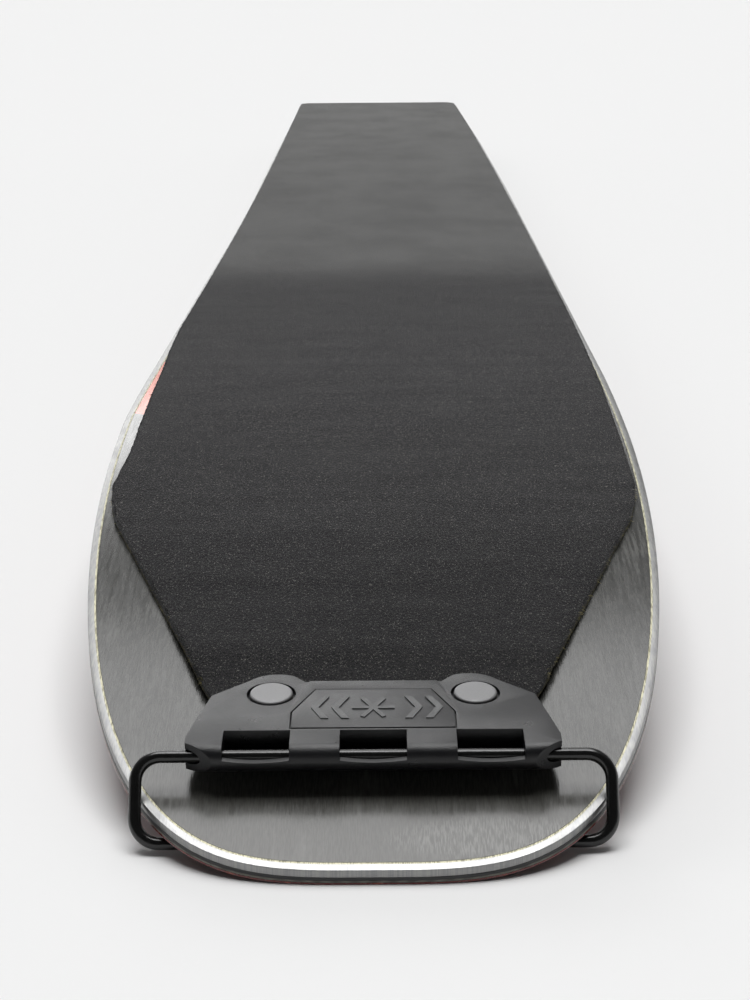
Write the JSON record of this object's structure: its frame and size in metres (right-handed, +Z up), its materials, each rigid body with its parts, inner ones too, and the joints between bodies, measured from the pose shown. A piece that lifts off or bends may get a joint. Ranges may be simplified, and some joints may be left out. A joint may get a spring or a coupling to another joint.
{
  "type": "splitboard half with climbing skin",
  "caption": "One half of a splitboard, base up, with a plush climbing skin held by a wire bail and tip connector at the nose and a cam strap at the tail.",
  "frame": {"origin": "on the floor, under the middle of the whole object", "axes": "+Y from nose to tail, +X towards the straight inner edge, +Z up through the base, which faces up"},
  "size_m": [0.148, 1.5832, 0.0558],
  "materials": {
    "sintered_base": "dark graphite sintered base, lengthwise stone-ground texture, satin gloss",
    "edge_steel": "ground bright steel edge",
    "glass_laminate": "cured glass fibre laminate",
    "core_wood": "vertically laminated poplar strips",
    "sidewall_abs": "black moulded sidewall",
    "topsheet": "red topsheet, satin",
    "insert_steel": "stainless threaded insert",
    "clip_aluminium": "black anodised",
    "black_steel": "black powder-coated steel plate",
    "screw_steel": "stainless screw",
    "skin_backing": "coated woven backing with glue layer",
    "skin_pile": "dense black short-haired climbing-skin plush",
    "connector_plastic": "fine-grained moulded nylon, dark grey",
    "emblem_plastic": "moulded inlay with a plain raised pattern",
    "rivet_metal": "satin grey rivet",
    "black_wire": "black coated spring-steel wire, glossy",
    "strap_rubber": "ribbed black rubber strap",
    "hook_steel": "pressed stainless hook"
  },
  "bodies": {
    "board": {"base_sheet": "sintered_base", "steel_edge": "edge_steel", "lower_laminate": "glass_laminate", "wood_core": "core_wood", "sidewall_inner": "sidewall_abs", "sidewall_outer": "sidewall_abs", "nose_spacer": "sidewall_abs", "tail_spacer": "sidewall_abs", "upper_laminate": "glass_laminate", "topsheet": "topsheet", "threaded_insert_01": "insert_steel", "threaded_insert_02": "insert_steel", "threaded_insert_03": "insert_steel", "threaded_insert_04": "insert_steel", "threaded_insert_05": "insert_steel", "threaded_insert_06": "insert_steel", "threaded_insert_07": "insert_steel", "threaded_insert_08": "insert_steel", "threaded_insert_09": "insert_steel", "threaded_insert_10": "insert_steel", "clip_1_plate": "clip_aluminium", "clip_1_pivot_screw": "screw_steel", "clip_1_fixing_screw": "screw_steel", "clip_2_plate": "clip_aluminium", "clip_2_pivot_screw": "screw_steel", "clip_2_fixing_screw": "screw_steel", "clip_3_plate": "clip_aluminium", "clip_3_pivot_screw": "screw_steel", "clip_3_fixing_screw": "screw_steel", "clip_4_plate": "clip_aluminium", "clip_4_pivot_screw": "screw_steel", "clip_4_fixing_screw": "screw_steel", "skin_backing": "skin_backing", "skin_pile": "skin_pile", "tip_connector": "connector_plastic", "connector_clamp_plate": "connector_plastic", "emblem_plate": "emblem_plastic", "rivet_left": "rivet_metal", "rivet_right": "rivet_metal", "tail_buckle": "connector_plastic", "cam_pin": "screw_steel", "buckle_rivet_left": "rivet_metal", "buckle_rivet_right": "rivet_metal", "tail_strap": "strap_rubber", "strap_end_fitting": "clip_aluminium", "hook_pin": "screw_steel"},
    "tip_bail": {"tip_bail": "black_wire"},
    "cam_lever": {"cam_lever": "connector_plastic"},
    "tail_hook": {"tail_hook": "hook_steel"},
    "clip_1_lever": {"clip_1_lever": "black_steel"},
    "clip_2_lever": {"clip_2_lever": "black_steel"},
    "clip_3_lever": {"clip_3_lever": "black_steel"},
    "clip_4_lever": {"clip_4_lever": "black_steel"}
  },
  "joints": [
    {"name": "bail_swing", "type": "hinge", "parent": "board", "child": "tip_bail", "pos_m": [0, -0.769, 0.01799], "axis": [-1, 0, 0], "range_deg": [0, 4.5]},
    {"name": "cam_open", "type": "hinge", "parent": "board", "child": "cam_lever", "pos_m": [0, 0.72544, 0.03912], "axis": [1, 0, 0], "range_deg": [0, 100]},
    {"name": "tail_hook_lift", "type": "hinge", "parent": "board", "child": "tail_hook", "pos_m": [0, 0.7754, 0.01307], "axis": [1, 0, 0], "range_deg": [0, 100]},
    {"name": "clip_1_turn", "type": "hinge", "parent": "board", "child": "clip_1_lever", "pos_m": [0.061, -0.4916, 0.04393], "axis": [0, -0.0047, -1], "range_deg": [0, 90]},
    {"name": "clip_2_turn", "type": "hinge", "parent": "board", "child": "clip_2_lever", "pos_m": [0.061, -0.2716, 0.04401], "axis": [0, 0.0063, -1], "range_deg": [0, 90]},
    {"name": "clip_3_turn", "type": "hinge", "parent": "board", "child": "clip_3_lever", "pos_m": [0.061, 0.2884, 0.04459], "axis": [0, 0.0003, -1], "range_deg": [0, 90]},
    {"name": "clip_4_turn", "type": "hinge", "parent": "board", "child": "clip_4_lever", "pos_m": [0.061, 0.5084, 0.04516], "axis": [0, 0.0066, -1], "range_deg": [0, 90]}
  ]
}
